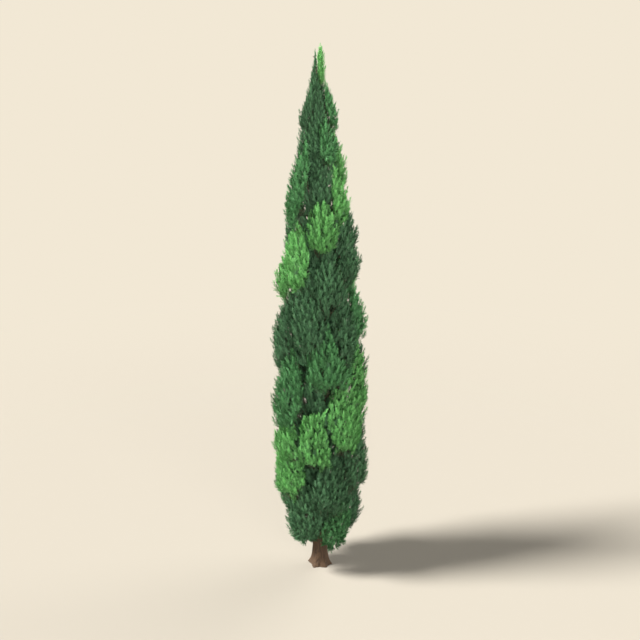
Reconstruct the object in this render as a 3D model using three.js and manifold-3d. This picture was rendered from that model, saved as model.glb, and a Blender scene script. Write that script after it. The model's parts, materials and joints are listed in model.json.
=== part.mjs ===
// Italian cypress, a whole tree rooted in the ground.
//
// A bare foot of trunk with a root flare carries a narrow column of foliage. The trunk runs up
// inside the crown nearly to its tip. Round it stand inner masses of foliage, nested one in the
// next like upright cups, and on those lie the outer masses, long uneven tufts in tiers, which
// give the crown its outline. Every mass is cut clear of the trunk and of its neighbours.
//
// Units are millimetres and +Z is up. The origin is the middle of the trunk's flat cut at ground
// level, and the front of the tree faces -Y.
import * as THREE from "three";
import { ConvexGeometry } from "three/addons/geometries/ConvexGeometry.js";
import { mergeVertices } from "three/addons/utils/BufferGeometryUtils.js";
import Module from "manifold-3d";

const wasm = await Module();
wasm.setup();

// Driving dimensions.
const TREE_HEIGHT = 12000;
const CROWN_RADIUS = 1120; // at its widest
const CROWN_FOOT = 500; // height of the lowest foliage
const CROWN_WIDEST = 3300; // height of the widest place
const TRUNK_RADIUS = 176; // above the root flare
const TRUNK_TIP = 11550;
const GAP = 0.3; // clear space between touching solids
const LEAST_SQUARENESS = 0.2; // bounds how far a sharp corner moves when a solid is grown
const MERGE_DISTANCE = 0.01; // corners nearer than this become one
const ON_AXIS = 1; // corners nearer the axis than this stay on it

// How the crown narrows above and below its widest place.
const TAPER_POWER = 2.25;
const FOOT_SHRINK = 0.42;

// The trunk.
const TRUNK_SIDES = 24;
const TRUNK_TAPER_POWER = 0.85;
const TRUNK_TIP_RADIUS = 12;
const LEADER_LEAN = new THREE.Vector2(-110, 15); // offset of the leading shoot at the tree's tip
const LEAN_POWER = 4; // keeps the trunk upright below and bends the leading shoot
const FLARE_REACH = 44; // how far the foot spreads beyond the trunk's radius
const FLARE_HEIGHT = 190;
const ROOT_REACH = 84; // how much further each buttress root spreads
const ROOT_HEIGHT = 105;
const ROOT_AZIMUTHS = [-105, -30, 30, 75, 135, 195]; // degrees from the front, towards +X
const ROOT_SPREAD = 18; // half width of a buttress, in degrees
const TRUNK_LEVELS = [0, 35, 80, 150, 270, 500, 1000, 2600, 5000, 7600, 10000, TRUNK_TIP];

// Inner masses: height of foot and top, and girth as a share of the crown's radius.
const INNER_SEED = 900;
const INNER_SIDES = 8;
const INNER_UNEVEN = 0.08; // how far corners stray from the plain shape
const INNER_STAGGER = 90; // how far they stray up or down
const INNER_TIERS = [
  { name: "inner_foliage_1", foot: 880, top: 3500, girth: 0.74, tone: "deep" },
  { name: "inner_foliage_2", foot: 2700, top: 5900, girth: 0.76, tone: "deep" },
  { name: "inner_foliage_3", foot: 4900, top: 8300, girth: 0.78, tone: "deep" },
  { name: "inner_foliage_4", foot: 7300, top: 10600, girth: 0.82, tone: "deep" },
  { name: "leader_foliage", foot: 9300, top: 11890, girth: 0.87, tone: "deep" },
];
const INNER_RINGS = [
  { share: 0.05, fullness: 0.55 },
  { share: 0.22, fullness: 0.93 },
  { share: 0.45, fullness: 1 },
  { share: 0.7, fullness: 0.86 },
  { share: 0.88, fullness: 0.5 },
];

// Outer masses, in tiers from the foot to the tip. Each tier has its middle height, the azimuth
// of its first mass in degrees from the front towards +X, the step in height between neighbours
// and the tone of each mass in turn round the trunk.
const OUTER_TIERS = [
  { z: 1330, turn: 33, step: 400, tones: ["mid", "deep", "deep", "bright", "deep", "deep"] },
  { z: 2400, turn: 15, step: 420, tones: ["deep", "deep", "bright", "deep", "mid", "bright"] },
  { z: 3500, turn: -10, step: 620, tones: ["bright", "bright", "deep", "mid", "deep", "bright"] },
  { z: 5450, turn: 7, step: -620, tones: ["mid", "bright", "deep", "bright", "deep", "mid"] },
  { z: 6300, turn: -17, step: -330, tones: ["deep", "deep", "mid", "bright", "deep", "deep"] },
  { z: 7150, turn: 14, step: 560, tones: ["deep", "deep", "bright", "deep", "bright", "bright"] },
  { z: 8250, turn: 3, step: 680, tones: ["bright", "bright", "deep", "bright", "deep", "mid"] },
  { z: 10080, turn: 26, step: -380, tones: ["mid", "bright", "deep", "deep"] },
  { z: 10700, turn: 62, step: -260, tones: ["mid", "bright", "deep"] },
];

// Outer masses that stray from their tier's pattern, by degrees, millimetres and shares.
const STRAYS = {
  foliage_1_1: { azimuth: 6, z: 70, longer: 1.15, wider: 1.2 },
  foliage_1_5: { proud: -90 },
  foliage_1_6: { azimuth: -1, z: -120, longer: 1.1, wider: 0.92 },
  foliage_2_2: { z: 40, proud: 40 },
  foliage_2_6: { azimuth: -18, longer: 1.05 },
  foliage_3_1: { longer: 0.85, blunt: 1 },
  foliage_3_2: { azimuth: -8, z: 120, longer: 1.4 },
  foliage_3_6: { azimuth: 8, z: -640, longer: 0.75, proud: -50 },
  foliage_4_2: { azimuth: 6, z: 130, longer: 1.1, proud: -30 },
  foliage_4_6: { azimuth: -2, z: -180, longer: 1.2, wider: 1.1 },
  foliage_6_2: { proud: -70 },
  foliage_6_5: { azimuth: 14, z: 120, longer: 0.9 },
  foliage_7_1: { longer: 0.8, blunt: 1 },
  foliage_7_2: { azimuth: -8, proud: -70 },
  foliage_7_6: { azimuth: 2, z: 240, longer: 1.4, wider: 1.1, proud: 120 },
  foliage_9_1: { z: 40, proud: 15 },
  foliage_9_3: { z: 60, proud: 60 },
};

// Shape of an outer mass: rings of corners from its blunt foot to its narrow top. A few masses
// have blunt tops too, where the upper rings are fuller.
const MASS_RINGS = [
  { up: -1, fullness: 0.32 },
  { up: -0.74, fullness: 0.9 },
  { up: -0.33, fullness: 1.08 },
  { up: 0.35, fullness: 0.86, fullerIfBlunt: 0.16 },
  { up: 0.94, fullness: 0.26, fullerIfBlunt: 0.42 },
];
const MASS_SIDES = 5;
const MASS_GIRTH = 0.42; // half width, as a share of the crown's radius
const MASS_DEPTH = 0.33; // half depth, as a share of the crown's radius
const MASS_STANDS_PROUD = 30; // beyond the plain outline of the crown
const MASS_LENGTH = 880; // half length where the crown is widest
const TIP_MASS_LENGTH = 400; // half length at the tip
const MASS_UNEVEN = 0.17; // how far corners stray from the plain shape
const MASS_VARIETY = 0.14; // how far the sizes of masses stray from their mean
const AZIMUTH_STRAY = 5; // degrees
const MASS_LEAN = 6; // degrees, to either side
const MASS_TUCK = 2.5; // degrees that the top leans further in than the crown's outline
const SLOPE_SPAN = 300; // height above and below, over which the outline's slope is taken
const OUTER_SEED = 1;
const SEEDS_IN_TIER = 17;

// The mass at the tip stands upright beside the leading shoot.
const TIP_MASS = { tone: "bright", seed: 400, girth: 105, depth: 95, length: TIP_MASS_LENGTH };
const TIP_MASS_PLACE = new THREE.Vector3(18, -35, 11590);

// Colours, in the order bark, then the tones of foliage.
const finish = (color, roughness) =>
  new THREE.MeshStandardMaterial({ color, roughness, metalness: 0, flatShading: true });
const MATERIALS = {
  bark: finish(0x6e5443, 0.9),
  deep: finish(0x41613f, 0.75),
  mid: finish(0x4a7a49, 0.75),
  bright: finish(0x62a052, 0.7),
};

const radians = THREE.MathUtils.degToRad;
const clamp = THREE.MathUtils.clamp;

// A stream of numbers from 0 to 1 that is the same for the same seed.
function randomStream(seed) {
  let state = seed * 2654435761 + 1013904223;
  return () => {
    state = (Math.imul(state ^ (state >>> 15), state | 1) + 0x6d2b79f5) | 0;
    const mixed = state ^ (state + Math.imul(state ^ (state >>> 7), state | 61));
    return ((mixed ^ (mixed >>> 14)) >>> 0) / 4294967296;
  };
}

function spread(random, amount) {
  return 1 + amount * (2 * random() - 1);
}

// Radius of the crown's outline at a height.
function crownRadius(z) {
  if (z > CROWN_WIDEST) {
    const up = clamp((z - CROWN_WIDEST) / (TREE_HEIGHT - CROWN_WIDEST), 0, 1);
    return CROWN_RADIUS * (1 - up ** TAPER_POWER);
  }
  const down = clamp((CROWN_WIDEST - z) / (CROWN_WIDEST - CROWN_FOOT), 0, 1);
  return CROWN_RADIUS * (1 - FOOT_SHRINK * down * down);
}

// Middle of the trunk at a height: upright below, with the leading shoot leaning off at the top.
function trunkMiddle(z) {
  const share = (z / TREE_HEIGHT) ** LEAN_POWER;
  return new THREE.Vector3(LEADER_LEAN.x * share, LEADER_LEAN.y * share, z);
}

function trunkRadius(z) {
  const up = (1 - z / TRUNK_TIP) ** TRUNK_TAPER_POWER;
  return TRUNK_TIP_RADIUS + (TRUNK_RADIUS - TRUNK_TIP_RADIUS) * up;
}

// How far the foot of the trunk spreads at a height and azimuth: an even flare and its roots.
function rootFlare(z, azimuth) {
  const roots = ROOT_AZIMUTHS.map((root) => {
    const off = (((azimuth - root + 540) % 360) - 180) / ROOT_SPREAD;
    return Math.exp(-off * off);
  });
  const flare = FLARE_REACH * Math.exp(-z / FLARE_HEIGHT);
  return flare + ROOT_REACH * Math.exp(-z / ROOT_HEIGHT) * Math.max(...roots);
}

// The geometry with its corners merged, so that it is one closed surface.
function closed(geometry) {
  geometry.deleteAttribute("normal");
  geometry.deleteAttribute("uv");
  return mergeVertices(geometry, MERGE_DISTANCE);
}

function moveCorners(geometry, move) {
  const places = geometry.attributes.position;
  const corner = new THREE.Vector3();
  for (let i = 0; i < places.count; i++) {
    corner.fromBufferAttribute(places, i);
    move(corner);
    places.setXYZ(i, corner.x, corner.y, corner.z);
  }
  return geometry;
}

// The same closed surface, with every face moved out by at least a distance.
function grown(geometry, by) {
  const copy = geometry.clone();
  copy.computeVertexNormals();
  const { position, normal } = copy.attributes;
  const faces = copy.index.array;
  const squareness = new Array(position.count).fill(1);
  const outwards = new THREE.Vector3();
  for (let first = 0; first < faces.length; first += 3) {
    const ends = [0, 1, 2].map((k) => faces[first + k]);
    const triangle = new THREE.Triangle().setFromAttributeAndIndices(position, ...ends);
    const faceNormal = triangle.getNormal(new THREE.Vector3());
    for (const end of ends) {
      const square = faceNormal.dot(outwards.fromBufferAttribute(normal, end));
      squareness[end] = Math.min(squareness[end], square);
    }
  }
  const corner = new THREE.Vector3();
  for (let i = 0; i < position.count; i++) {
    outwards.fromBufferAttribute(normal, i);
    corner.fromBufferAttribute(position, i);
    corner.addScaledVector(outwards, by / Math.max(squareness[i], LEAST_SQUARENESS));
    position.setXYZ(i, corner.x, corner.y, corner.z);
  }
  return copy;
}

function solidOf(geometry) {
  const vertProperties = new Float32Array(geometry.attributes.position.array);
  const triVerts = new Uint32Array(geometry.index.array);
  return new wasm.Manifold(new wasm.Mesh({ numProp: 3, vertProperties, triVerts }));
}

function geometryOf(solid) {
  const { vertProperties, triVerts } = solid.getMesh();
  return new THREE.BufferGeometry()
    .setAttribute("position", new THREE.BufferAttribute(vertProperties, 3))
    .setIndex(new THREE.BufferAttribute(triVerts, 1));
}

function trunkGeometry() {
  const levels = TRUNK_LEVELS.map((z) => new THREE.Vector2(trunkRadius(z), z));
  const profile = [new THREE.Vector2(0, 0), ...levels, new THREE.Vector2(0, TRUNK_TIP)];
  const lathe = new THREE.LatheGeometry(profile, TRUNK_SIDES);
  const upright = lathe.rotateX(Math.PI / 2);
  return moveCorners(closed(upright), (corner) => {
    const azimuth = THREE.MathUtils.radToDeg(Math.atan2(corner.x, -corner.y));
    const radius = Math.hypot(corner.x, corner.y);
    const grow = radius > ON_AXIS ? 1 + rootFlare(corner.z, azimuth) / radius : 1;
    const middle = trunkMiddle(corner.z);
    corner.x = corner.x * grow + middle.x;
    corner.y = corner.y * grow + middle.y;
  });
}

// An inner mass: an uneven spindle round the trunk, blunt at its foot and pointed at its top.
function innerGeometry({ foot, top, girth }, seed) {
  const random = randomStream(seed);
  const levels = INNER_RINGS.map(({ share, fullness }) => {
    const z = foot + share * (top - foot);
    return new THREE.Vector2(girth * fullness * crownRadius(z), z);
  });
  const profile = [new THREE.Vector2(0, foot), ...levels, new THREE.Vector2(0, top)];
  const lathe = new THREE.LatheGeometry(profile, INNER_SIDES);
  const upright = lathe.rotateX(Math.PI / 2);
  return moveCorners(closed(upright), (corner) => {
    const middle = trunkMiddle(corner.z);
    const factor = spread(random, INNER_UNEVEN);
    corner.x = corner.x * factor + middle.x;
    corner.y = corner.y * factor + middle.y;
    corner.z += (corner.z < top ? INNER_STAGGER : 0) * (2 * random() - 1);
  });
}

// A long uneven tuft with flat sides round the origin, fullest below its middle.
function tuftGeometry({ girth, depth, length, seed, blunt = 0 }) {
  const random = randomStream(seed);
  const corners = MASS_RINGS.flatMap(({ up, fullness, fullerIfBlunt = 0 }) => {
    const turn = random() * 2 * Math.PI;
    return Array.from({ length: MASS_SIDES }, (_, i) => {
      const angle = turn + (2 * Math.PI * i) / MASS_SIDES;
      const reach = (fullness + blunt * fullerIfBlunt) * spread(random, MASS_UNEVEN);
      const height = length * (up + MASS_UNEVEN * (random() - 0.5));
      return new THREE.Vector3(depth * reach * Math.cos(angle), girth * reach * Math.sin(angle), height);
    });
  });
  return closed(new ConvexGeometry(corners));
}

// An outer mass, leaning with the outline of the crown.
function outerGeometry(mass) {
  const { z, azimuth, depth, proud, lean } = mass;
  const slope = (crownRadius(z + SLOPE_SPAN) - crownRadius(z - SLOPE_SPAN)) / (2 * SLOPE_SPAN);
  const tuft = tuftGeometry(mass);
  tuft.rotateX(lean);
  tuft.rotateY(Math.atan(slope) - radians(MASS_TUCK));
  tuft.translate(crownRadius(z) + proud - depth, 0, z);
  return tuft.rotateZ(radians(azimuth - 90));
}

// One mass of a tier, with its sizes worked out from the crown's radius at its height.
function outerMass(tier, i) {
  const { z, turn, step, tones } = OUTER_TIERS[tier];
  const name = `foliage_${tier + 1}_${i + 1}`;
  const stray = { azimuth: 0, z: 0, longer: 1, wider: 1, proud: 0, blunt: 0, ...STRAYS[name] };
  const seed = OUTER_SEED + SEEDS_IN_TIER * tier + i;
  const random = randomStream(seed);
  const height = z + (i % 2) * step + stray.z;
  const radius = crownRadius(height);
  const halfLength = TIP_MASS_LENGTH + (MASS_LENGTH - TIP_MASS_LENGTH) * (radius / CROWN_RADIUS);
  const wander = AZIMUTH_STRAY * (2 * random() - 1);
  return {
    name,
    seed,
    z: height,
    azimuth: turn + (360 / tones.length) * i + wander + stray.azimuth,
    girth: MASS_GIRTH * radius * stray.wider * spread(random, MASS_VARIETY),
    depth: MASS_DEPTH * radius * spread(random, MASS_VARIETY / 2),
    length: halfLength * stray.longer * spread(random, MASS_VARIETY),
    proud: MASS_STANDS_PROUD + stray.proud,
    blunt: stray.blunt,
    lean: radians(MASS_LEAN * (2 * random() - 1)),
  };
}

const tree = new THREE.Group();
tree.name = "italian_cypress";

// Adds a solid that is cut clear of all those placed before it.
const placed = [];
function place(name, geometry, material) {
  const cutters = placed.map((earlier) => solidOf(grown(earlier, GAP)));
  const cut = cutters.reduce((solid, cutter) => solid.subtract(cutter), solidOf(geometry));
  const pieces = cut.decompose().sort((a, b) => b.volume() - a.volume());
  const mesh = new THREE.Mesh(geometryOf(pieces[0]), material);
  mesh.name = name;
  tree.add(mesh);
  placed.push(geometry);
}

place("trunk", trunkGeometry(), MATERIALS.bark);
INNER_TIERS.forEach((tier, i) => {
  place(tier.name, innerGeometry(tier, INNER_SEED + i), MATERIALS[tier.tone]);
});
OUTER_TIERS.forEach(({ tones }, tier) => tones.forEach((tone, i) => {
  const mass = outerMass(tier, i);
  place(mass.name, outerGeometry(mass), MATERIALS[tone]);
}));
const tip = tuftGeometry(TIP_MASS).translate(...TIP_MASS_PLACE);
place("tip_foliage", tip, MATERIALS[TIP_MASS.tone]);

export default tree;
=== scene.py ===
# Looks of an Italian cypress: bark, boughs, twigs and sprays of scale leaves, grown by a seeded rule
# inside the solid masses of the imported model. All lengths are in metres, and +Z is up.
import json
import math

import bpy
import numpy as np
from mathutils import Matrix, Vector, noise
from mathutils.bvhtree import BVHTree
from mathutils.kdtree import KDTree


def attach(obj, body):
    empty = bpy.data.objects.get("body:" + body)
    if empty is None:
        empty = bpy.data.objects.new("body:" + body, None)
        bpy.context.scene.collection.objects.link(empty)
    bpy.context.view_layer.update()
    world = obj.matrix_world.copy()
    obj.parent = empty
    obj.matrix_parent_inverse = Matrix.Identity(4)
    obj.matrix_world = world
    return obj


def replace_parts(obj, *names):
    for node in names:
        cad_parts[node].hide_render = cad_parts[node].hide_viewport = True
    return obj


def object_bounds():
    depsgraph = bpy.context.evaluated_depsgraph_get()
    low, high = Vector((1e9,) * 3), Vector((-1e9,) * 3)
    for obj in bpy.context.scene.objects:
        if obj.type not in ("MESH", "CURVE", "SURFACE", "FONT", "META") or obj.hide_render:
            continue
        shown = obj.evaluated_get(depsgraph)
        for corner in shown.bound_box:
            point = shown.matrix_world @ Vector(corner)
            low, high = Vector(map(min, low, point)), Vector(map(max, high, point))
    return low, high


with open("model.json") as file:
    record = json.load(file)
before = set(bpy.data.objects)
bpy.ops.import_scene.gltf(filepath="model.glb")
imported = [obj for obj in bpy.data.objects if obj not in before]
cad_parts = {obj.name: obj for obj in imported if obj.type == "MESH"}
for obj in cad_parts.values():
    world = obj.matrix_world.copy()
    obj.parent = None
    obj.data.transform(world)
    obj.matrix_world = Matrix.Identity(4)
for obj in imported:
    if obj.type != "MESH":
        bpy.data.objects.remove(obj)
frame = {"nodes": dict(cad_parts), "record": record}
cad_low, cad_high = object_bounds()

SEED = 20
UP = np.array([0.0, 0.0, 1.0])
GOLDEN_ANGLE = 2.4  # turn between neighbours on a spiral, in radians
STRAIGHT_UP = 0.999  # a normal that rises by more than this points straight up

# Trunk and bark.
BARK_COLUMNS = 216
BARK_AZIMUTHS = np.arange(BARK_COLUMNS) * 2 * math.pi / BARK_COLUMNS
BARK_ROW = 0.014  # height of a row of bark where the trunk is bare
BARE_TOP = 1.15  # up to here the bark has its fine rows
HIDDEN_ROW = 0.9  # height of a row inside the foliage
FISSURE_WIDTH, FISSURE_LENGTH, FISSURE_DEPTH = 0.026, 0.36, 0.009
FINE_WIDTH, FINE_LENGTH, FINE_DEPTH = 0.45, 0.5, 0.55  # fine fissures, as shares of the broad ones
BROAD_EDGE, FINE_EDGE = 0.11, 0.12  # fissures run where the grain is about this near to 0
PLATE_RISE = 0.3  # the bark between fissures stands out by this share of their depth
FIBRE_WIDTH, FIBRE_LENGTH, FIBRE_DEPTH = 0.009, 0.10, 0.0025
BARK_TWIST = 0.35  # turn of the bark's fibres, in radians for each metre of height
LUMPS_ROUND, LUMPS_UP, LUMP_HEIGHT = 11, 3, 0.006  # lumps to the metre, round the trunk and up it
ROUGH_RADIUS = 0.1  # where the trunk is thinner than this, its relief is less
CREASE_ROUNDS = 5  # rounds of smoothing up the trunk
END_CORNER = 0.3  # corners within this share of a ring's reach belong to a flat end
SAME_RING = 0.001  # corners this near in height belong to one ring

# Plumes: the flame-shaped tufts of foliage that the boughs end in.
PLUME_SPACING = 0.132
CANDIDATES = 3.4  # places tried for a plume on each square of its spacing
PACKING_POWER = 1.25  # how the spacing follows the size of the foliage
FULL_SIZE_RADIUS = 0.6  # foliage is smaller where the crown is narrower than this
LEAST_SIZE = 0.32
PLUME_LENGTH, LENGTH_SPREAD = 0.40, (0.8, 1.25)
PLUME_BEND, PLUME_SAG, PLUME_CURL = 0.35, 0.2, 0.4  # a plume starts outwards and low, and turns up
BOX_MARGIN = 0.02  # plumes end this far inside the crown's widest reach
SKIN_SPREAD = -0.045, 0.035  # how far in front of the skin tips end, from least to most
TOPMOST_PROUD = 0.01  # how far the topmost plume of a mass stands above it
SHORTEN_ROUNDS, SHORTENED = 5, 0.75  # plumes with their feet in the open are shortened

# How plumes lean, as shares of each direction.
LEAN_UP, LEAN_OUT, LEAN_WITH_FACE, LEAN_CHANCE = 1.3, 0.12, 0.5, 0.11
FOOT_HEIGHT = 0.35  # plumes this near the foot of their mass are shorter and more level
FOOT_LEVEL, FOOT_SHORTER = 0.6, 0.4
LOW_FOLIAGE = 1.5  # below this height, plumes lean further out
LOW_LEVEL, LOW_LEAN_OUT = 0.75, 0.9

# Where masses meet, plumes stand further in and are smaller, and their sprigs take darker shades: painted
# shade in the valleys.
VALLEY_DEPTH, VALLEY_SHRINK, VALLEY_PAINTED_SHADE = 0.13, 0.25, 0.9
VALLEY_REACH = 0.32  # masses further off than this leave a place open
VALLEY_LIMIT = 0.75  # where neighbours hide more of the sky than this, no plume grows
SKY_TILTS, SKY_TURNS = (0.6, 1.15), 6  # the sky is looked for at these tilts and so many turns
SIGHT = 3.0  # further off than this, nothing is looked for
CREVICE_START, SKY_START = 0.004, 0.01  # how far off the skin a look begins
CREVICE, INNER_CREVICE = 0.05, 0.008  # nothing grows on a surface with another this close to it
BURIED = -1  # in place of a crevice, lets sprigs grow on every surface

# A slim crown: near the trunk, plumes follow the middle of their own mass.
SLIM_REACH = 0.3
SLIM_FADE = 1.5
TOPMOST_SLIM = 0.7  # how far the topmost plume of a mass does so
SLIM_PROUD = 0.08  # how far plumes stand out of a slim crown
MIDDLE_REACH = 0.25  # height over which the middle of a mass is averaged

# Sprigs: small flat sprays along the plumes. The shape of a sprig is in shares of its length.
PLUME_SPRIGS = 16
BARE_STEM = 0.28  # share of a plume's stem below its first sprig
SPIRAL_STRAY = 0.3
ASKEW = 0.01  # turns the spiral's start a little, for plumes that point straight out
SPRIG_LENGTH = 0.115
FIRST_SPRIG, SPRIG_SHRINK = 1.4, 0.75  # the first sprigs of a plume are longer than the last
FIRST_OPEN, OPEN_SHRINK, LAST_OPEN = 0.85, 0.65, 0.05  # angles from the plume's stem, in radians
LAST_SPRIG_SUNK = 0.6  # share of the last sprig that lies below the plume's tip
OPEN_SPREAD = 0.75, 1.25
FACE_OUT, FACE_ASIDE, FACE_CHANCE = 1.1, 0.6, 0.3
SIZE_SPREAD = 0.85, 1.15
SPRIG_SHOOTS = 14
SHOOT_WIDTH = 0.12
STEM_WIDTH, STEM_ARCH = 0.3, 0.02  # half the stem's width, as a share of a shoot's, and its arch
LOWEST_SHOOT, HIGHEST_SHOOT = 0.05, 0.88
SHOOT_ANGLES = 0.50, 0.80
SHOOT_LENGTH, SHOOT_SHRINK, SHOOT_LIFT = 0.46, 0.30, 0.12
SPRIG_KINDS = 8
STEM_FACES = np.array([(0, 2, 1), (0, 3, 2)])
SHOOT_FACES = 4 + np.arange(3 * SPRIG_SHOOTS).reshape(-1, 3)
SPRIG_FACES = np.concatenate([STEM_FACES, SHOOT_FACES])
MOST_FACES = 190_000  # in a piece of the outer foliage

# Inner foliage, in larger and older sprigs.
INNER_SPACING = 0.062
INNER_SPRIG_LENGTH = 0.17
INNER_SHOOT_WIDTH = 0.18
LINING_DEPTHS = 0.06, 0.18
WALL_SPACING = 0.19
WALL_DEPTHS = 0, 0.14
CORE_SPRIGS = 4400
CORE_SPRIG_LENGTH = 0.30
CORE_REACH = 0.2, 0.95  # share of the way from the trunk to the feet of the plumes
CORE_STRAY = 0.2
CORE = -1  # the number that stands for a mass in the sprigs of the core
INNER_LEAN_OUT, INNER_LEAN_CHANCE, INNER_FACE_CHANCE = 0.35, 0.25, 0.35
INNER_SIZE_SPREAD = 0.8, 1.15
INNER_BELOW, INNER_ABOVE = 0.5, 0.45  # shares of an inner sprig below and above its middle
MIN_DEPTH = 0.09  # how deep the larger sprigs lie
OUTER_SKIN = 0.55  # they may come nearer to a place that sees less of the sky than this

# Wood inside the crown.
LOWEST_BOUGH = 0.62
DRAWN_IN = 0.72  # boughs keep this share of the way from the trunk to the feet of their plumes
INNER_BOUGHS = 5  # boughs in each mass that goes round the trunk
FEWEST_PLUMES = 3  # fewer plumes than this have no bough of their own
BOUGH_DROP, LEAST_RISE = 0.9, 0.1  # a bough starts below its plumes, by a share of its reach
ELBOW_OUT, ELBOW_UP = 0.75, 0.25
BOUGH_RADIUS, BOUGH_GAIN = 0.010, 0.028  # radius of the least bough, and how much the greatest adds
WIDE_REACH, TALL_RISE = 0.7, 1.8  # reach and rise of the thickest boughs
BOUGH_TIP, BOUGH_TAPER = 0.12, 0.8  # share of the radius left at the tip, and the taper's power
BRANCH_STEP = 0.35  # height between branches on a bough
BRANCH_FAN = 4  # branches round a bough
FIRST_FORK = 3  # the lowest ring of a bough that bears branches
FORK_DROP, FORK_BELOW = 0.8, 0.05  # a branch starts below its plumes
BRANCH_REACH = 0.85  # share of the way to the feet of its plumes
BRANCH_BOW, BRANCH_LEVEL = 0.6, 0.4  # a branch starts outwards and turns up
BRANCH_RADII = 0.0095, 0.003  # from its fork to its end
TWIG_FORKS = 0.35, 0.98  # where twigs leave their branch
TWIG_STOPS = 0.0, 0.45, 0.9  # shares of a plume's stem that its twig passes through
TWIG_SAG = 0.12
TWIG_RADII = 0.0036, 0.0008
BOUGH_RINGS, BRANCH_RINGS = 13, 6
BOUGH_SIDES, BRANCH_SIDES, TWIG_SIDES = 8, 5, 3
UPRIGHT = 0.9  # limbs that rise by more than this share of their length count as upright

# Colours are linear. Each tone of foliage has its shades, from old inner sprigs to fresh tips; the darker
# ones also stand for painted shade in valleys, at the feet of masses and inside the crown.
SHADES = {
    "foliage_deep": [
        (0.044, 0.107, 0.051), (0.060, 0.148, 0.071), (0.077, 0.192, 0.091), (0.099, 0.240, 0.113),
    ],
    "foliage_mid": [
        (0.054, 0.160, 0.059), (0.073, 0.221, 0.083), (0.095, 0.280, 0.106), (0.115, 0.338, 0.129),
    ],
    "foliage_bright": [
        (0.090, 0.257, 0.076), (0.125, 0.361, 0.107), (0.161, 0.451, 0.137), (0.198, 0.544, 0.168),
    ],
}
# Inner sprigs take the two darkest shades of their tone: older foliage, and painted shade that shows as
# dark lines between the masses.
INNER_PAINTED_SHADE_LEVELS = 0, 1
MASS_PAINTED_SHADE = 0.5  # painted shade: how much lighter a mass's sprigs are at its top than at its foot, where the mass above shades it
SHADE_START = -0.4  # shade of the oldest sprigs
MASS_BIAS, PLUME_BIAS, SPRIG_BIAS = 0.4, 0.35, 0.45  # how far each strays from its like, in shades
LEAF_ROUGHNESS, LEAF_SHEEN = 0.62, 0.25
WOOD_ROUGHNESS, BARK_ROUGHNESS, FIBRE_ROUGHNESS = 0.85, 0.8, 0.15
STREAK_SHARE, FISSURE_SHADE_SHARE = 0.9, 0.85  # how strongly streaks and fissures are coloured; the fissures' darkness is painted shade, with the bark's own redder tint
PLATE_COLOURS = (0.084, 0.044, 0.019, 1), (0.122, 0.070, 0.032, 1)
STREAK_COLOUR, FISSURE_SHADE_COLOUR = (0.046, 0.025, 0.012, 1), (0.020, 0.011, 0.007, 1)
BOUGH_COLOURS = (0.040, 0.028, 0.018, 1), (0.085, 0.062, 0.042, 1)
TWIG_COLOURS = (0.055, 0.044, 0.024, 1), (0.095, 0.078, 0.042, 1)
FLOOR_COLOUR = 0.284, 0.265, 0.231, 1
BACKDROP_COLOUR = 0.887, 0.807, 0.665, 1
SKY_COLOUR = 0.82, 0.81, 0.79, 1

chance = np.random.default_rng(SEED)


def unit(vectors):
    return vectors / np.maximum(np.linalg.norm(vectors, axis=-1, keepdims=True), 1e-9)


def between(low, high, size=None):
    return chance.uniform(low, high, size)


# Materials ------------------------------------------------------------------------------------


class Value:
    """A node's output, for use in expressions."""

    def __init__(self, finish, socket):
        self.finish, self.socket = finish, socket

    def math(self, operation, other):
        return self.finish.node("ShaderNodeMath", {"operation": operation}, {0: self, 1: other})

    def __add__(self, other):
        return self.math("ADD", other)

    def __mul__(self, other):
        return self.math("MULTIPLY", other)


class Finish:
    """A material and the nodes that make it."""

    def __init__(self, name, **plain):
        self.material = bpy.data.materials.new(name)
        self.material.use_nodes = True
        self.tree = self.material.node_tree
        self.surface = self.tree.nodes["Principled BSDF"]
        self.feed(self.surface, plain)

    def feed(self, node, inputs):
        for key, value in inputs.items():
            socket = node.inputs[key]
            if isinstance(value, Value):
                self.tree.links.new(value.socket, socket)
            else:
                socket.default_value = value

    def node(self, kind, settings, inputs, output=0):
        node = self.tree.nodes.new(kind)
        for key, value in settings.items():
            setattr(node, key, value)
        self.feed(node, inputs)
        return Value(self, node.outputs[output])

    def mix(self, share, first, second):
        return self.node("ShaderNodeMix", {"data_type": "RGBA"}, {0: share, 6: first, 7: second}, 2)

    def noise(self, place, scale, detail):
        return self.node("ShaderNodeTexNoise", {}, {"Vector": place, "Scale": scale, "Detail": detail})

    def place(self, stretch=(1, 1, 1)):
        own = self.node("ShaderNodeTexCoord", {}, {}, "Object")
        return self.node("ShaderNodeVectorMath", {"operation": "MULTIPLY"}, {0: own, 1: stretch})


def leaf_finish(name, colour):
    finish = Finish(name, Roughness=LEAF_ROUGHNESS)
    finish.feed(finish.surface, {"Base Color": (*colour, 1), "Specular IOR Level": LEAF_SHEEN})
    return finish.material


def wood_finish(name, dark, light):
    """The thinner bark of boughs and twigs, in two browns."""
    finish = Finish(name, Roughness=WOOD_ROUGHNESS)
    patches = finish.noise(finish.place(stretch=(1, 1, 0.3)), scale=40, detail=3)
    finish.feed(finish.surface, {"Base Color": finish.mix(patches, dark, light)})
    return finish.material


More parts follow.
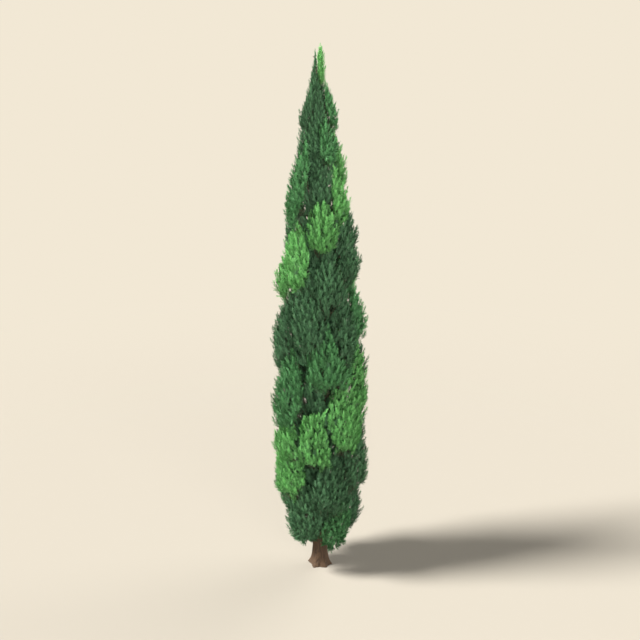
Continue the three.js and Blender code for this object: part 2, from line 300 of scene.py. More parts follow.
def bark_finish():
    """Grey-brown bark in long fibres, darker and redder down in its fissures: the redder tint is the
    bark's own, the darkness painted shade in the recesses.
    """
    finish = Finish("bark")
    fibres = finish.noise(finish.place(stretch=(1, 1, 0.07)), scale=95, detail=5)
    patches = finish.noise(finish.place(stretch=(1, 1, 0.4)), scale=9, detail=3)
    fissure = finish.node("ShaderNodeAttribute", {"attribute_name": "fissure"}, {}, "Fac")
    plates = finish.mix(patches, *PLATE_COLOURS)
    streaked = finish.mix(fibres * STREAK_SHARE, STREAK_COLOUR, plates)
    bump = finish.node("ShaderNodeBump", {}, {"Strength": 0.5, "Distance": 0.004, "Height": fibres})
    finish.feed(finish.surface, {
        # painted shade: the fissures are coloured darker, with the bark's own redder tint
        "Base Color": finish.mix(fissure * FISSURE_SHADE_SHARE, streaked, FISSURE_SHADE_COLOUR),
        "Roughness": fibres * FIBRE_ROUGHNESS + BARK_ROUGHNESS,
        "Normal": bump,
    })
    return finish.material


# Meshes ---------------------------------------------------------------------------------------


def joined(name, vertices, triangles, materials, shades=None):
    """One mesh piece from arrays of corners, triangles and the material number of each triangle."""
    mesh = bpy.data.meshes.new(name)
    mesh.vertices.add(len(vertices))
    mesh.vertices.foreach_set("co", vertices.astype(np.float32).ravel())
    mesh.loops.add(3 * len(triangles))
    mesh.loops.foreach_set("vertex_index", triangles.astype(np.int32).ravel())
    mesh.polygons.add(len(triangles))
    mesh.polygons.foreach_set("loop_start", np.arange(0, 3 * len(triangles), 3, dtype=np.int32))
    for material in materials:
        mesh.materials.append(material)
    if shades is not None:
        mesh.polygons.foreach_set("material_index", shades.astype(np.int32))
    mesh.update(calc_edges=True)
    piece = bpy.data.objects.new(name, mesh)
    bpy.context.scene.collection.objects.link(piece)
    return piece


def smooth(piece):
    piece.data.polygons.foreach_set("use_smooth", np.ones(len(piece.data.polygons), bool))
    return piece


def band(low, high, columns, after):
    """The two triangles in each column between two rows of corners."""
    first = np.stack([low + columns, low + after, high + after], 1)
    return [first, np.stack([low + columns, high + after, high + columns], 1)]


def tubes(paths, radii, sides):
    """Tapering limbs along many paths at once: corners and triangles. Each ends in a point."""
    count, rings, _ = paths.shape
    along = unit(np.gradient(paths, axis=1))
    chord = unit(paths[:, -1] - paths[:, 0])
    sideways = np.where(np.abs(chord[:, 2:]) > UPRIGHT, np.array([1.0, 0, 0]), UP)
    across = unit(np.cross(along, sideways[:, None, :]))
    over = np.cross(along, across)
    turn = np.arange(sides) * 2 * math.pi / sides
    ring = across[:, :, None] * np.cos(turn)[:, None] + over[:, :, None] * np.sin(turn)[:, None]
    walls = (paths[:, :, None] + radii[:, :, None, None] * ring)[:, :-1].reshape(count, -1, 3)
    vertices = np.concatenate([walls, paths[:, -1:]], axis=1)
    columns = np.arange(sides)
    after = (columns + 1) % sides
    steps = []
    for level in range(rings - 2):
        steps += band(level * sides, (level + 1) * sides, columns, after)
    last = (rings - 2) * sides
    steps += [np.stack([last + columns, last + after, np.full(sides, (rings - 1) * sides)], 1)]
    pattern = np.concatenate(steps)
    offsets = np.arange(count) * vertices.shape[1]
    triangles = pattern[None] + offsets[:, None, None]
    return vertices.reshape(-1, 3), triangles.reshape(-1, 3)


def bent(start, control, end, share):
    """Points on curves from start to end, pulled towards control."""
    share = np.asarray(share)[..., None]
    return (1 - share) ** 2 * start + 2 * share * (1 - share) * control + share**2 * end


# Trunk ----------------------------------------------------------------------------------------


class Trunk:
    """The trunk's middle at any height and its radius all round, read from the rings of its solid."""

    def __init__(self):
        corners = np.array([v.co for v in frame["nodes"]["trunk"].data.vertices])
        self.heights = np.unique(corners[:, 2].round(4))
        rims = [self.rim(corners[np.abs(corners[:, 2] - z) < SAME_RING, :2]) for z in self.heights]
        self.middles = np.array([rim.mean(0) for rim in rims])
        self.profile = np.array([self.round_profile(rim) for rim in rims])

    def rim(self, ring):
        """A ring without the corner in the middle of a flat end."""
        reach = np.hypot(*(ring - ring.mean(0)).T)
        return ring[reach > END_CORNER * reach.max()]

    def round_profile(self, rim):
        """Radii at the bark's azimuths, rounded off between a rim's corners."""
        x, y = (rim - rim.mean(0)).T
        azimuth = np.arctan2(y, x) % (2 * math.pi)
        order = np.argsort(azimuth)
        azimuth, radius = azimuth[order], np.hypot(x, y)[order]
        turns = np.concatenate([[azimuth[-1] - 2 * math.pi], azimuth, [azimuth[0] + 2 * math.pi]])
        radii = np.concatenate([[radius[-1]], radius, [radius[0]]])
        place = np.interp(BARK_AZIMUTHS, turns, np.arange(len(turns)))
        corner = np.floor(place)
        share = place - corner
        return np.interp(corner + share**2 * (3 - 2 * share), np.arange(len(turns)), radii)

    def middle(self, z):
        flat = [np.interp(z, self.heights, self.middles[:, k]) for k in (0, 1)]
        return np.stack([*flat, np.broadcast_to(z, np.shape(flat[0]))], -1)

    def reach(self, places):
        """How far places lie from the trunk's middle at their own height."""
        return np.hypot(*(places - self.middle(places[..., 2]))[..., :2].T)

    def away(self, places):
        """Level directions from the trunk's middle to places."""
        return unit((places - self.middle(places[..., 2])) * [1, 1, 0])

    def radii(self, rows):
        """The radius at each row's height and each azimuth, without creases between the rings."""
        radii = np.stack([np.interp(rows, self.heights, column) for column in self.profile.T], 1)
        for _ in range(CREASE_ROUNDS):
            radii[1:-1] = (radii[:-2] + 2 * radii[1:-1] + radii[2:]) / 4
        return radii


def grain_at(x, y, z, width, length):
    """Noise stretched along the bark's twisted fibres, from about -0.5 to 0.5."""
    turned = BARK_TWIST * z
    u = (x * math.cos(turned) + y * math.sin(turned)) / width
    v = (y * math.cos(turned) - x * math.sin(turned)) / width
    return noise.noise(Vector((u, v, z / length)))


def fissure_at(x, y, z):
    """How deep a fissure runs at a place on the bark, from 0 on a plate to 1."""
    broad = grain_at(x, y, z, FISSURE_WIDTH, FISSURE_LENGTH) / BROAD_EDGE
    fine = grain_at(x, y, z, FINE_WIDTH * FISSURE_WIDTH, FINE_LENGTH * FISSURE_LENGTH) / FINE_EDGE
    return max(math.exp(-(broad**2)), FINE_DEPTH * math.exp(-(fine**2)))


def bark_rise(x, y, z, fissure):
    """How far the bark stands out at a place where it has its full relief."""
    lumps = noise.noise(Vector((x * LUMPS_ROUND, y * LUMPS_ROUND, z * LUMPS_UP)))
    fibres = grain_at(x, y, z, FIBRE_WIDTH, FIBRE_LENGTH)
    return LUMP_HEIGHT * lumps + FIBRE_DEPTH * fibres + FISSURE_DEPTH * (PLATE_RISE - fissure)


def bark_surface(trunk, rows):
    """The bark's corners, row by row, and how deep a fissure runs at each."""
    vertices, fissures = [], []
    for z, radii in zip(rows, trunk.radii(rows)):
        middle = trunk.middle(z)
        relief = min(1.0, radii.mean() / ROUGH_RADIUS)
        for azimuth, radius in zip(BARK_AZIMUTHS, radii):
            across, over = math.cos(azimuth), math.sin(azimuth)
            fissure = fissure_at(radius * across, radius * over, z)
            radius += relief * bark_rise(radius * across, radius * over, z, fissure)
            vertices.append((middle[0] + radius * across, middle[1] + radius * over, z))
            fissures.append(fissure * relief)
    return vertices, fissures


def make_bark(trunk):
    top = trunk.heights[-1]
    bare = np.arange(0, BARE_TOP, BARK_ROW)
    hidden = np.arange(BARE_TOP, top - HIDDEN_ROW, HIDDEN_ROW)
    rows = np.concatenate([bare, hidden, [top]])
    vertices, fissures = bark_surface(trunk, rows)
    columns = np.arange(BARK_COLUMNS)
    after = (columns + 1) % BARK_COLUMNS
    strips = []
    for row in range(len(rows) - 1):
        strips += band(row * BARK_COLUMNS, (row + 1) * BARK_COLUMNS, columns, after)
    foot, tip = len(vertices), len(vertices) + 1
    vertices += [(*trunk.middle(0.0)[:2], 0.0), (*trunk.middle(top)[:2], top)]
    fissures += [0.0, 0.0]
    last = (len(rows) - 1) * BARK_COLUMNS
    strips += [np.stack([after, columns, np.full(BARK_COLUMNS, foot)], 1)]
    strips += [np.stack([last + columns, last + after, np.full(BARK_COLUMNS, tip)], 1)]
    piece = joined("trunk_bark", np.array(vertices), np.concatenate(strips), [bark_finish()])
    attribute = piece.data.attributes.new("fissure", "FLOAT", "POINT")
    attribute.data.foreach_set("value", np.array(fissures, np.float32))
    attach(piece, "root")
    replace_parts(smooth(piece), "trunk")


# Skin: the open faces of the masses --------------------------------------------------------------


def solids_tree(nodes):
    """One search tree of every solid's faces."""
    corners, faces = [], []
    for node in nodes:
        first = len(corners)
        corners += [v.co.copy() for v in node.data.vertices]
        faces += [[first + i for i in p.vertices] for p in node.data.polygons]
    return BVHTree.FromPolygons(corners, faces)


def is_open(tree, place, outwards, crevice, size):
    """Whether a place on a solid faces the open air, and not a neighbour closer than a crevice."""
    hit, normal, _, distance = tree.ray_cast(place + CREVICE_START * outwards, outwards, SIGHT)
    if hit is None or crevice == BURIED:
        return True
    return normal.dot(outwards) < 0 and distance > crevice * size


def is_inside(tree, place):
    nearest, normal, _, _ = tree.find_nearest(Vector(place))
    return (Vector(place) - nearest).dot(normal) < 0


def sky_share(tree, place, outwards, size):
    """How much of the sky in front of a place is free of neighbours, from 0 to 1."""
    side = outwards.orthogonal().normalized()
    over = outwards.cross(side)
    start, reach = place + SKY_START * outwards, VALLEY_REACH * size
    free = 0
    for tilt in SKY_TILTS:
        for turn in range(SKY_TURNS):
            angle = 2 * math.pi * turn / SKY_TURNS + tilt
            aside = side * math.cos(angle) + over * math.sin(angle)
            look = outwards * math.cos(tilt) + aside * math.sin(tilt)
            free += tree.ray_cast(start, look, reach)[0] is None
    return free / (len(SKY_TILTS) * SKY_TURNS)


def openness(tree, places, outwards, sizes):
    rows = zip(places, outwards, sizes)
    return np.array([sky_share(tree, Vector(place), Vector(out), size) for place, out, size in rows])


def size_at(places, trunk):
    """The size of foliage, smaller towards the crown's narrow top."""
    return np.minimum(1.0, LEAST_SIZE + (1 - LEAST_SIZE) * trunk.reach(places) / FULL_SIZE_RADIUS)


def places_on(node, trunk, spacing):
    """A solid's tip, and random places on its faces, closer where foliage is small, with normals."""
    mesh = node.data
    mesh.calc_loop_triangles()
    corners = np.array([v.co for v in mesh.vertices])
    faces = corners[np.array([t.vertices for t in mesh.loop_triangles])]
    crosses = np.cross(faces[:, 1] - faces[:, 0], faces[:, 2] - faces[:, 0])
    wanted = np.linalg.norm(crosses, axis=1) / size_at(faces.mean(1), trunk) ** 2
    count = int(wanted.sum() * CANDIDATES / spacing**2)
    chosen = chance.choice(len(faces), count, p=wanted / wanted.sum())
    u, v = between(0, 1, count), between(0, 1, count)
    folded = u + v > 1
    u[folded], v[folded] = 1 - u[folded], 1 - v[folded]
    a, b, c = faces[chosen].transpose(1, 0, 2)
    places = a + u[:, None] * (b - a) + v[:, None] * (c - a)
    tip = corners[corners[:, 2].argmax()]
    return np.vstack([tip, places]), np.vstack([UP, unit(crosses[chosen])])


def skin_places(masses, tree, trunk, spacing, crevice):
    """Places in the open on the masses, no two closer than their spacing, in four arrays.

    The arrays are the number of the mass, the size of its foliage there, the place and its normal.
    """
    taken, found = {}, []
    for number, node in enumerate(masses):
        places, normals = places_on(node, trunk, spacing)
        for place, outwards, size in zip(places, normals, size_at(places, trunk)):
            cell = tuple((place // spacing).astype(int))
            around = [
                other
                for x in (-1, 0, 1) for y in (-1, 0, 1) for z in (-1, 0, 1)
                for other in taken.get((cell[0] + x, cell[1] + y, cell[2] + z), ())
            ]
            if any(math.dist(place, other) < spacing * size**PACKING_POWER for other in around):
                continue
            if not is_open(tree, Vector(place), Vector(outwards), crevice, size):
                continue
            taken.setdefault(cell, []).append(tuple(place))
            found.append((number, size, *place, *outwards))
    found = np.array(found)
    return found[:, 0].astype(int), found[:, 1], found[:, 2:5], found[:, 5:8]


# Plumes ---------------------------------------------------------------------------------------


def mass_middle(node, heights):
    """The middle of a mass at some heights, from its corners near each height."""
    corners = np.array([v.co for v in node.data.vertices])
    near = np.exp(-(((heights[:, None] - corners[None, :, 2]) / MIDDLE_REACH) ** 2))
    flat = near @ corners[:, :2] / near.sum(1, keepdims=True)
    return np.column_stack([flat, heights])


class Plumes:
    """The curved shoots that carry the foliage, as arrays: one row for each plume."""

    def __init__(self, places, masses, tree, trunk):
        mass, size, skin, outwards = places
        topmost = outwards[:, 2] > STRAIGHT_UP
        valley = np.where(topmost, 0, 1 - openness(tree, skin, outwards, size))
        grows = valley < VALLEY_LIMIT
        self.mass, self.valley, self.topmost = mass[grows], valley[grows], topmost[grows]
        self.skin, self.outwards = skin[grows], outwards[grows]
        self.size = size[grows] * (1 - VALLEY_SHRINK * self.valley)
        self.radial = trunk.away(self.skin)
        self.level = self.outwards * [1, 1, 0]
        away, upright = self.directions(masses)
        along = unit(self.skin - self.mass_middles(masses, self.skin[:, 2] - self.length))
        slim = np.clip(SLIM_FADE * (1 - trunk.reach(self.skin) / SLIM_REACH), 0, 1)
        slim = np.maximum(slim, TOPMOST_SLIM * self.topmost)[:, None]
        self.tip = self.tips(slim)
        away = unit((1 - slim) * away + slim * along)
        upright = unit((1 - slim) * upright + slim * along)
        self.set_feet(away, upright, tree)
        self.bias = chance.normal(0, MASS_BIAS, len(masses))[self.mass]
        self.keep(~self.hanging | self.topmost)

    def directions(self, masses):
        """Sets the length of each plume, and gives the directions of its foot and of its tip."""
        feet = np.array([min(v.co.z for v in node.data.vertices) for node in masses])[self.mass]
        tops = np.array([max(v.co.z for v in node.data.vertices) for node in masses])[self.mass]
        above = self.skin[:, 2] - feet
        self.height = above / (tops - feet)
        foot = 1 - np.clip(above / (FOOT_HEIGHT * self.size), 0, 1)[:, None]
        low = np.clip(LOW_FOLIAGE - self.skin[:, 2:], 0, 1)
        rise = LEAN_UP * (1 - FOOT_LEVEL * foot) * (1 - LOW_LEVEL * low)
        out = (LEAN_OUT + LOW_LEAN_OUT * low) * self.radial
        jitter = chance.normal(0, LEAN_CHANCE, self.skin.shape)
        lean = unit(LEAN_WITH_FACE * self.level + out + rise * UP + jitter)
        uneven = between(*LENGTH_SPREAD, len(self.skin))
        self.length = PLUME_LENGTH * self.size * uneven * (1 - FOOT_SHORTER * foot[:, 0])
        return unit(lean + PLUME_BEND * self.radial - PLUME_SAG * UP), unit(lean + PLUME_CURL * UP)

    def tips(self, slim):
        """Where plumes end, near the skin of their mass and within the crown's widest reach."""
        proud = self.size * (between(*SKIN_SPREAD, len(self.skin)) - VALLEY_DEPTH * self.valley)
        spread = SLIM_PROUD * (1 - self.size)[:, None] * (1 - slim)
        out = np.where(self.topmost, TOPMOST_PROUD, proud)[:, None]
        tips = self.skin + self.outwards * out + self.level * spread
        low, high = np.array(cad_low[:2]) + BOX_MARGIN, np.array(cad_high[:2]) - BOX_MARGIN
        tips[:, :2] = np.clip(tips[:, :2], low, high)
        return tips

    def set_feet(self, away, upright, tree):
        """Sets where plumes start, nearer their tips where they would start in the open."""
        for _ in range(SHORTEN_ROUNDS):
            self.base = self.tip - self.length[:, None] * unit(away + upright)
            self.hanging = np.array([not is_inside(tree, base) for base in self.base])
            self.length = np.where(self.hanging, SHORTENED * self.length, self.length)
        self.control = self.base + 0.5 * self.length[:, None] * away

    def keep(self, kept):
        for name, values in vars(self).items():
            setattr(self, name, values[kept])

    def mass_middles(self, masses, heights):
        """For each plume, the middle of its mass at a height."""
        middles = np.zeros((len(heights), 3))
        for number, node in enumerate(masses):
            own = self.mass == number
            middles[own] = mass_middle(node, heights[own])
        return middles

    def at(self, share):
        return bent(self.base, self.control, self.tip, share)

    def heading(self, share):
        return unit((1 - share) * (self.control - self.base) + share * (self.tip - self.control))


# Sprigs ---------------------------------------------------------------------------------------


def sprig_shape(width):
    """A small flat spray of unit length: pointed shoots to both sides of a stem that ends in a point."""
    side = STEM_WIDTH * width
    corners = [(0, 0, 0), (-side, 0.5, STEM_ARCH), (0, 1, 0), (side, 0.5, STEM_ARCH)]
    for number, share in enumerate(np.linspace(LOWEST_SHOOT, HIGHEST_SHOOT, SPRIG_SHOOTS)):
        angle = (-1) ** number * between(*SHOOT_ANGLES)
        length = between(*SIZE_SPREAD) * (SHOOT_LENGTH - SHOOT_SHRINK * share)
        lift = between(-SHOOT_LIFT, SHOOT_LIFT)
        corners.append((0, share - width / 2, 0))
        corners.append((length * math.sin(angle), share + length * math.cos(angle), lift))
        corners.append((0, share + width / 2, 0))
    return np.array(corners)


def sprigs(starts, headings, facings, lengths, width):
    """The corners and triangles of many sprigs at once."""
    shapes = np.array([sprig_shape(width) for _ in range(SPRIG_KINDS)])
    shape = shapes[chance.integers(0, SPRIG_KINDS, len(starts))]
    across = unit(np.cross(headings, facings))
    faces_out = np.cross(across, headings)
    axes = np.stack([across, headings, faces_out], 1) * lengths[:, None, None]
    vertices = starts[:, None] + shape @ axes
    triangles = SPRIG_FACES[None] + (np.arange(len(starts)) * shape.shape[1])[:, None, None]
    return vertices.reshape(-1, 3), triangles.reshape(-1, 3)


def plume_sprigs(plumes, chosen):
    """The sprigs of the chosen plumes: starts, headings, facings, lengths, and freshness darkened as
    painted shade in valleys and at the feet of masses.
    """
    rows = []
    count = len(plumes.tip)
    spin = between(0, 2 * math.pi, count)
    for k in range(PLUME_SPRIGS):
        last = k == PLUME_SPRIGS - 1
        share = BARE_STEM + (1 - BARE_STEM) * k / (PLUME_SPRIGS - 1)
        along = plumes.heading(share)
        first = unit(np.cross(along, plumes.radial + ASKEW))
        second = np.cross(along, first)
        angle = spin + k * GOLDEN_ANGLE + between(-SPIRAL_STRAY, SPIRAL_STRAY, count)
        aside = first * np.cos(angle)[:, None] + second * np.sin(angle)[:, None]
        open_angle = LAST_OPEN if last else FIRST_OPEN - OPEN_SHRINK * share
        tilt = (open_angle * between(*OPEN_SPREAD, count))[:, None]
        heading = np.cos(tilt) * along + np.sin(tilt) * aside
        stray = chance.normal(0, FACE_CHANCE, aside.shape)
        facing = FACE_OUT * plumes.outwards + FACE_ASIDE * aside + stray
        uneven = between(*SIZE_SPREAD, count)
        length = SPRIG_LENGTH * plumes.size * uneven * (FIRST_SPRIG - SPRIG_SHRINK * share)
        start = plumes.at(share)
        if last:
            start = plumes.tip - heading * (LAST_SPRIG_SUNK * length)[:, None]
        # painted shade: sprigs are darker in the valleys between masses and towards the foot of each mass
        growth_and_shade = share - VALLEY_PAINTED_SHADE * plumes.valley + MASS_PAINTED_SHADE * (plumes.height - 0.5)
        rows.append((start[chosen], heading[chosen], facing[chosen], length[chosen], growth_and_shade[chosen]))
    return [np.concatenate(column) for column in zip(*rows)]


def shade_numbers(growth_and_shade, shades, shift):
    """Deals the shades out by sprig, old ones and painted shade dark and tips light, with chance and a
    shift for each.
    """
    level = growth_and_shade * shades + SHADE_START + shift + chance.normal(0, SPRIG_BIAS, len(growth_and_shade))
    return np.clip(level, 0, shades - 1).astype(int)


def mass_groups(tone, plumes, tones):
    """The masses of one tone, in groups whose sprigs stay within the limit on faces."""
    groups, size = [[]], 0
    for number in [n for n, own in enumerate(tones) if own == tone]:
        extra = PLUME_SPRIGS * len(SPRIG_FACES) * int((plumes.mass == number).sum())
        if size + extra > MOST_FACES:
            groups.append([])
            size = 0
        groups[-1].append(number)
        size += extra
    return groups


def make_sprays(plumes, masses, tones):
    """The outer foliage: pieces of whole masses, each of one tone."""
    for tone, colours in SHADES.items():
        materials = [leaf_finish(f"{tone}_{k + 1}", colour) for k, colour in enumerate(colours)]
        for k, group in enumerate(mass_groups(tone, plumes, tones)):
            chosen = np.isin(plumes.mass, group)
            *shape, growth_and_shade = plume_sprigs(plumes, chosen)
            vertices, triangles = sprigs(*shape, SHOOT_WIDTH)
            shift = plumes.bias[chosen] + chance.normal(0, PLUME_BIAS, chosen.sum())
            shades = shade_numbers(growth_and_shade, len(colours), np.tile(shift, PLUME_SPRIGS))
            name = tone.replace("foliage", "sprays") + f"_{k + 1}"
            piece = joined(name, vertices, triangles, materials, shades.repeat(len(SPRIG_FACES)))
            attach(piece, "root")
            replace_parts(piece, *[masses[number].name for number in group])


# Inner foliage --------------------------------------------------------------------------------


def lining(places):
    """Sprigs just behind the tips of the plumes: middles, lengths, the way they face and their mass."""
    mass, size, skin, outwards = places
    size = size[:, None]
    middles = skin - outwards * size * between(*LINING_DEPTHS, size.shape)
    return middles, INNER_SPRIG_LENGTH * size, outwards, mass


def walls(masses, tree, trunk):
    """Larger sprigs on the walls where the masses meet."""
    mass, size, skin, outwards = skin_places(masses, tree, trunk, WALL_SPACING, BURIED)
    size = size[:, None]
    middles = skin - outwards * size * between(*WALL_DEPTHS, size.shape)
    return middles, CORE_SPRIG_LENGTH * size, outwards, np.full(len(mass), CORE)


def core(plumes, trunk):
    """Larger sprigs all round between the trunk and the feet of the plumes."""
    picked = chance.choice(len(plumes.tip), CORE_SPRIGS)
    picked = picked[np.argsort(plumes.base[picked, 2])]
    foot = plumes.base[picked]
    azimuth = GOLDEN_ANGLE * np.arange(CORE_SPRIGS) + between(-CORE_STRAY, CORE_STRAY, CORE_SPRIGS)
    outwards = np.stack([np.cos(azimuth), np.sin(azimuth), 0 * azimuth], 1)
    reach = between(*CORE_REACH, CORE_SPRIGS) * trunk.reach(foot)
    middles = trunk.middle(foot[:, 2]) + reach[:, None] * outwards
    return middles, CORE_SPRIG_LENGTH * plumes.size[picked, None], outwards, np.full(CORE_SPRIGS, CORE)


def outer_skin(places, tree):
    """Those places on the skin that see much of the sky."""
    _, size, skin, outwards = places
    return skin[openness(tree, skin, outwards, size) > OUTER_SKIN]


def depth_under(skin, places):
    """How far places lie from the nearest of the skin's own places."""
    near = KDTree(len(skin))
    for number, place in enumerate(skin):
        near.insert(place, number)
    near.balance()
    return np.array([near.find(place)[2] for place in places])


def make_inner_sprays(plumes, masses, tones, tree, trunk):
    """Older, larger sprigs behind the plumes, in the darkest shades of their tone: older foliage, and
    painted shade between the masses. Each lies inside the crown, and the largest deep.
    """
    skin = skin_places(masses, tree, trunk, INNER_SPACING, INNER_CREVICE)
    kinds = zip(lining(skin), walls(masses, tree, trunk), core(plumes, trunk))
    middles, lengths, outwards, mass = [np.concatenate(kind) for kind in kinds]
    stray = chance.normal(0, INNER_LEAN_CHANCE, middles.shape)
    heading = unit(UP + INNER_LEAN_OUT * trunk.away(middles) + stray)
    least_depth = MIN_DEPTH * lengths[:, 0] / CORE_SPRIG_LENGTH
    lengths = lengths * between(*INNER_SIZE_SPREAD, lengths.shape)
    start, end = middles - INNER_BELOW * lengths * heading, middles + INNER_ABOVE * lengths * heading
    facing = outwards + chance.normal(0, INNER_FACE_CHANCE, middles.shape)
    inside = np.array([is_inside(tree, low) and is_inside(tree, high) for low, high in zip(start, end)])
    outer = outer_skin(skin, tree)
    deep = np.minimum(depth_under(outer, start), depth_under(outer, end)) > least_depth
    kept = inside & (deep | (mass != CORE))
    tone_of = np.array([*tones, "foliage_deep"])[mass]
    for tone in SHADES:
        own = kept & (tone_of == tone)
        shape = start[own], heading[own], facing[own], lengths[own, 0]
        vertices, triangles = sprigs(*shape, INNER_SHOOT_WIDTH)
        # painted shade: inner sprigs are dealt only the darkest shades of their tone
        shades = chance.integers(0, len(INNER_PAINTED_SHADE_LEVELS), own.sum()).repeat(len(SPRIG_FACES))
        name = tone.replace("foliage", "inner_sprays")
        materials = [bpy.data.materials[f"{tone}_{k + 1}"] for k in INNER_PAINTED_SHADE_LEVELS]
        piece = joined(name, vertices, triangles, materials, shades)
        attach(piece, "root")


# Wood inside the crown ------------------------------------------------------------------------


def grow_wood(plumes, masses, trunk):
    """Boughs from the trunk into each mass, branches on them, and twigs out to every plume."""
    boughs, branches, twigs = [], [], []
    azimuth = np.arctan2(plumes.radial[:, 1], plumes.radial[:, 0])
    for number, node in enumerate(masses):
        round_trunk = node.name.startswith(("inner", "leader"))
        sectors = INNER_BOUGHS if round_trunk else 1
        turn = ((azimuth / (2 * math.pi) + 0.5) * sectors).astype(int) % sectors
        for sector in range(sectors):
            own = np.flatnonzero((plumes.mass == number) & (turn == sector))
            if len(own) < FEWEST_PLUMES:
                continue
            feet = plumes.base[own]
            spine = grow_bough(feet, trunk, boughs)
            grow_branches(own, feet, spine, branches, twigs)
    return boughs, branches, twigs


def grow_bough(feet, trunk, boughs):
    """A bough that leaves the trunk below its plumes, bends up and ends as high as their feet."""
    low, high = feet[:, 2].min(), feet[:, 2].max()
    middle = feet.mean(0)
    middle += (DRAWN_IN - 1) * (middle - trunk.middle(middle[2]))
    reach = trunk.reach(middle)
    foot = trunk.middle(min(max(low - BOUGH_DROP * reach, LOWEST_BOUGH), high - LEAST_RISE))
    outwards, rise = unit((middle - foot) * [1, 1, 0]), high - foot[2]
    elbow = foot + ELBOW_OUT * reach * outwards + (ELBOW_UP * rise) * UP
    top = middle * [1, 1, 0] + high * UP
    path = bent(foot, elbow, top, np.linspace(0, 1, BOUGH_RINGS))
    radius = BOUGH_RADIUS + BOUGH_GAIN * min(1.0, reach / WIDE_REACH) * min(1.0, rise / TALL_RISE)
    boughs.append((path, radius * np.linspace(1, BOUGH_TIP, BOUGH_RINGS) ** BOUGH_TAPER))
    return path


def grow_branches(own, feet, spine, branches, twigs):
    """Branches from a bough towards the feet of its plumes, a fan of them for each step in height."""
    nearest = np.abs(feet[:, None, 2] - spine[None, :, 2]).argmin(1)
    aside = feet - spine[nearest]
    step = ((feet[:, 2] - feet[:, 2].min()) / BRANCH_STEP).astype(int)
    turn = np.arctan2(aside[:, 1], aside[:, 0]) / (2 * math.pi) + 0.5
    fan = (turn * BRANCH_FAN + 0.5 * step).astype(int) % BRANCH_FAN
    for key in sorted(set(zip(step, fan))):
        members = np.flatnonzero((step == key[0]) & (fan == key[1]))
        middle = feet[members].mean(0)
        away = math.hypot(*(middle - spine[nearest[members[0]]])[:2])
        height = middle[2] - FORK_DROP * away - FORK_BELOW
        start = spine[np.abs(spine[FIRST_FORK:, 2] - height).argmin() + FIRST_FORK]
        end = start + BRANCH_REACH * (middle - start)
        control = start + BRANCH_BOW * (end - start) * [1, 1, BRANCH_LEVEL]
        path = bent(start, control, end, np.linspace(0, 1, BRANCH_RINGS))
        branches.append((path, np.linspace(*BRANCH_RADII, BRANCH_RINGS)))
        forks = bent(start, control, end, between(*TWIG_FORKS, len(members)))
        twigs += zip(own[members], forks)


def twig_limbs(plumes, twigs):
    """A limb for each twig, from its branch to the foot of its plume and on up inside the plume."""
    chosen, origins = [np.array(column) for column in zip(*twigs)]
    base, control, tip = plumes.base[chosen], plumes.control[chosen], plumes.tip[chosen]
    sag = TWIG_SAG * np.linalg.norm(base - origins, axis=1)[:, None]
    shoot = [bent(base, control, tip, share) for share in TWIG_STOPS]
    paths = np.stack([origins, (origins + base) / 2 - sag * UP, *shoot], 1)
    radii = np.linspace(*TWIG_RADII, paths.shape[1])[None] * plumes.size[chosen, None]
    return zip(paths, radii)


def make_limbs(name, limbs, sides, material):
    paths, radii = [np.array(column) for column in zip(*limbs)]
    piece = smooth(joined(name, *tubes(paths, radii, sides), [material]))
    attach(piece, "root")


def make_wood(plumes, masses, trunk):
    boughs, branches, twigs = grow_wood(plumes, masses, trunk)
    bough_bark = wood_finish("bough_bark", *BOUGH_COLOURS)
    make_limbs("boughs", boughs, BOUGH_SIDES, bough_bark)
    make_limbs("branches", branches, BRANCH_SIDES, bough_bark)
    make_limbs("twigs", twig_limbs(plumes, twigs), TWIG_SIDES, wood_finish("twig_bark", *TWIG_COLOURS))


# Stage ----------------------------------------------------------------------------------------

CAMERA_PLACE = (0.0, -19.33, 11.16)
CAMERA_PITCH = 14.77  # degrees below level
LENS, SENSOR, FAR_CLIP = 50, 36, 500
FLOOR_RADIUS, FLOOR_SIDES = 90, 96
FADE_START, FADE_END = 9.0, 26.0  # how far out the floor starts and ends to turn into the backdrop
SUN_COLOUR = (1.0, 0.97, 0.92)
SUN_FROM = (-1.0, -0.16, 1.05)
SUN_STRENGTH, SUN_SIZE = 10.2, 16
FILL_FROM = (0.25, -1.0, 0.14)
FILL_STRENGTH, FILL_SIZE = 3.7, 50
BACK_FROM = (0.74, 0.62, 0.45)
BACK_STRENGTH, BACK_SIZE = 3.3, 55
SKY_STRENGTH = 0.11


def make_floor():
    """A pale round floor that turns into the plain backdrop far out."""
    bpy.ops.mesh.primitive_circle_add(vertices=FLOOR_SIDES, radius=FLOOR_RADIUS, fill_type="TRIFAN")
    floor = bpy.context.object
    floor.name = "floor"
    finish = Finish("pale_floor", Roughness=1.0)
    finish.feed(finish.surface, {"Base Color": FLOOR_COLOUR, "Specular IOR Level": 0})
    length = {"operation": "LENGTH"}
    distance = finish.node("ShaderNodeVectorMath", length, {0: finish.place()}, "Value")
    fade = {"Value": distance, "From Min": FADE_START, "From Max": FADE_END}
    far = finish.node("ShaderNodeMapRange", {"interpolation_type": "SMOOTHSTEP"}, fade)
    glow = finish.node("ShaderNodeEmission", {}, {"Color": BACKDROP_COLOUR, "Strength": 1.0})
    near = Value(finish, finish.surface.outputs[0])
    both = finish.node("ShaderNodeMixShader", {}, {0: far, 1: near, 2: glow})
    finish.tree.links.new(both.socket, finish.tree.nodes["Material Output"].inputs["Surface"])
    floor.data.materials.append(finish.material)


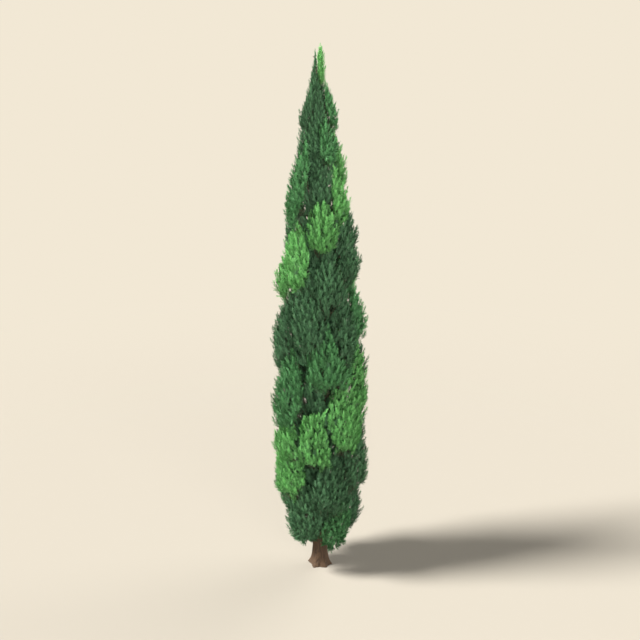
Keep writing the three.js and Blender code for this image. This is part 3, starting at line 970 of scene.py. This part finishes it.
def make_sun(name, direction, strength, size):
    sun = bpy.data.lights.new(name, "SUN")
    sun.energy = strength
    sun.angle = math.radians(size)
    sun.color = SUN_COLOUR
    holder = bpy.data.objects.new(name, sun)
    holder.rotation_euler = Vector(direction).to_track_quat("Z", "Y").to_euler()
    bpy.context.scene.collection.objects.link(holder)


def make_sky():
    """A dim sky that lights the tree. In its place the camera sees the plain backdrop."""
    world = bpy.data.worlds.new("plain_sky")
    world.use_nodes = True
    bpy.context.scene.world = world
    nodes, links = world.node_tree.nodes, world.node_tree.links
    light = nodes["Background"]
    light.inputs["Color"].default_value = SKY_COLOUR
    light.inputs["Strength"].default_value = SKY_STRENGTH
    backdrop = nodes.new("ShaderNodeBackground")
    backdrop.inputs["Color"].default_value = BACKDROP_COLOUR
    path = nodes.new("ShaderNodeLightPath")
    seen = nodes.new("ShaderNodeMixShader")
    links.new(path.outputs["Is Camera Ray"], seen.inputs["Fac"])
    links.new(light.outputs["Background"], seen.inputs[1])
    links.new(backdrop.outputs["Background"], seen.inputs[2])
    links.new(seen.outputs["Shader"], nodes["World Output"].inputs["Surface"])


def make_lights():
    make_sun("key_light", SUN_FROM, SUN_STRENGTH, SUN_SIZE)
    make_sun("fill_light", FILL_FROM, FILL_STRENGTH, FILL_SIZE)
    make_sun("back_light", BACK_FROM, BACK_STRENGTH, BACK_SIZE)
    make_sky()


def make_camera():
    lens = bpy.data.cameras.new("camera")
    lens.lens, lens.sensor_width, lens.clip_end = LENS, SENSOR, FAR_CLIP
    camera = bpy.data.objects.new("camera", lens)
    camera.location = CAMERA_PLACE
    camera.rotation_euler = (math.radians(90 - CAMERA_PITCH), 0, 0)
    bpy.context.scene.collection.objects.link(camera)
    bpy.context.scene.camera = camera


make_camera()
make_lights()
make_floor()
bpy.context.scene.view_settings.view_transform = "Standard"

trunk = Trunk()
make_bark(trunk)

slots = {part["node"]: part["material_slot"] for part in frame["record"]["subparts"]}
masses = [node for name, node in sorted(frame["nodes"].items()) if name != "trunk"]
tones = [slots[node.name] for node in masses]
tree = solids_tree(list(frame["nodes"].values()))
plumes = Plumes(skin_places(masses, tree, trunk, PLUME_SPACING, CREVICE), masses, tree, trunk)
make_sprays(plumes, masses, tones)
make_inner_sprays(plumes, masses, tones, tree, trunk)
make_wood(plumes, masses, trunk)
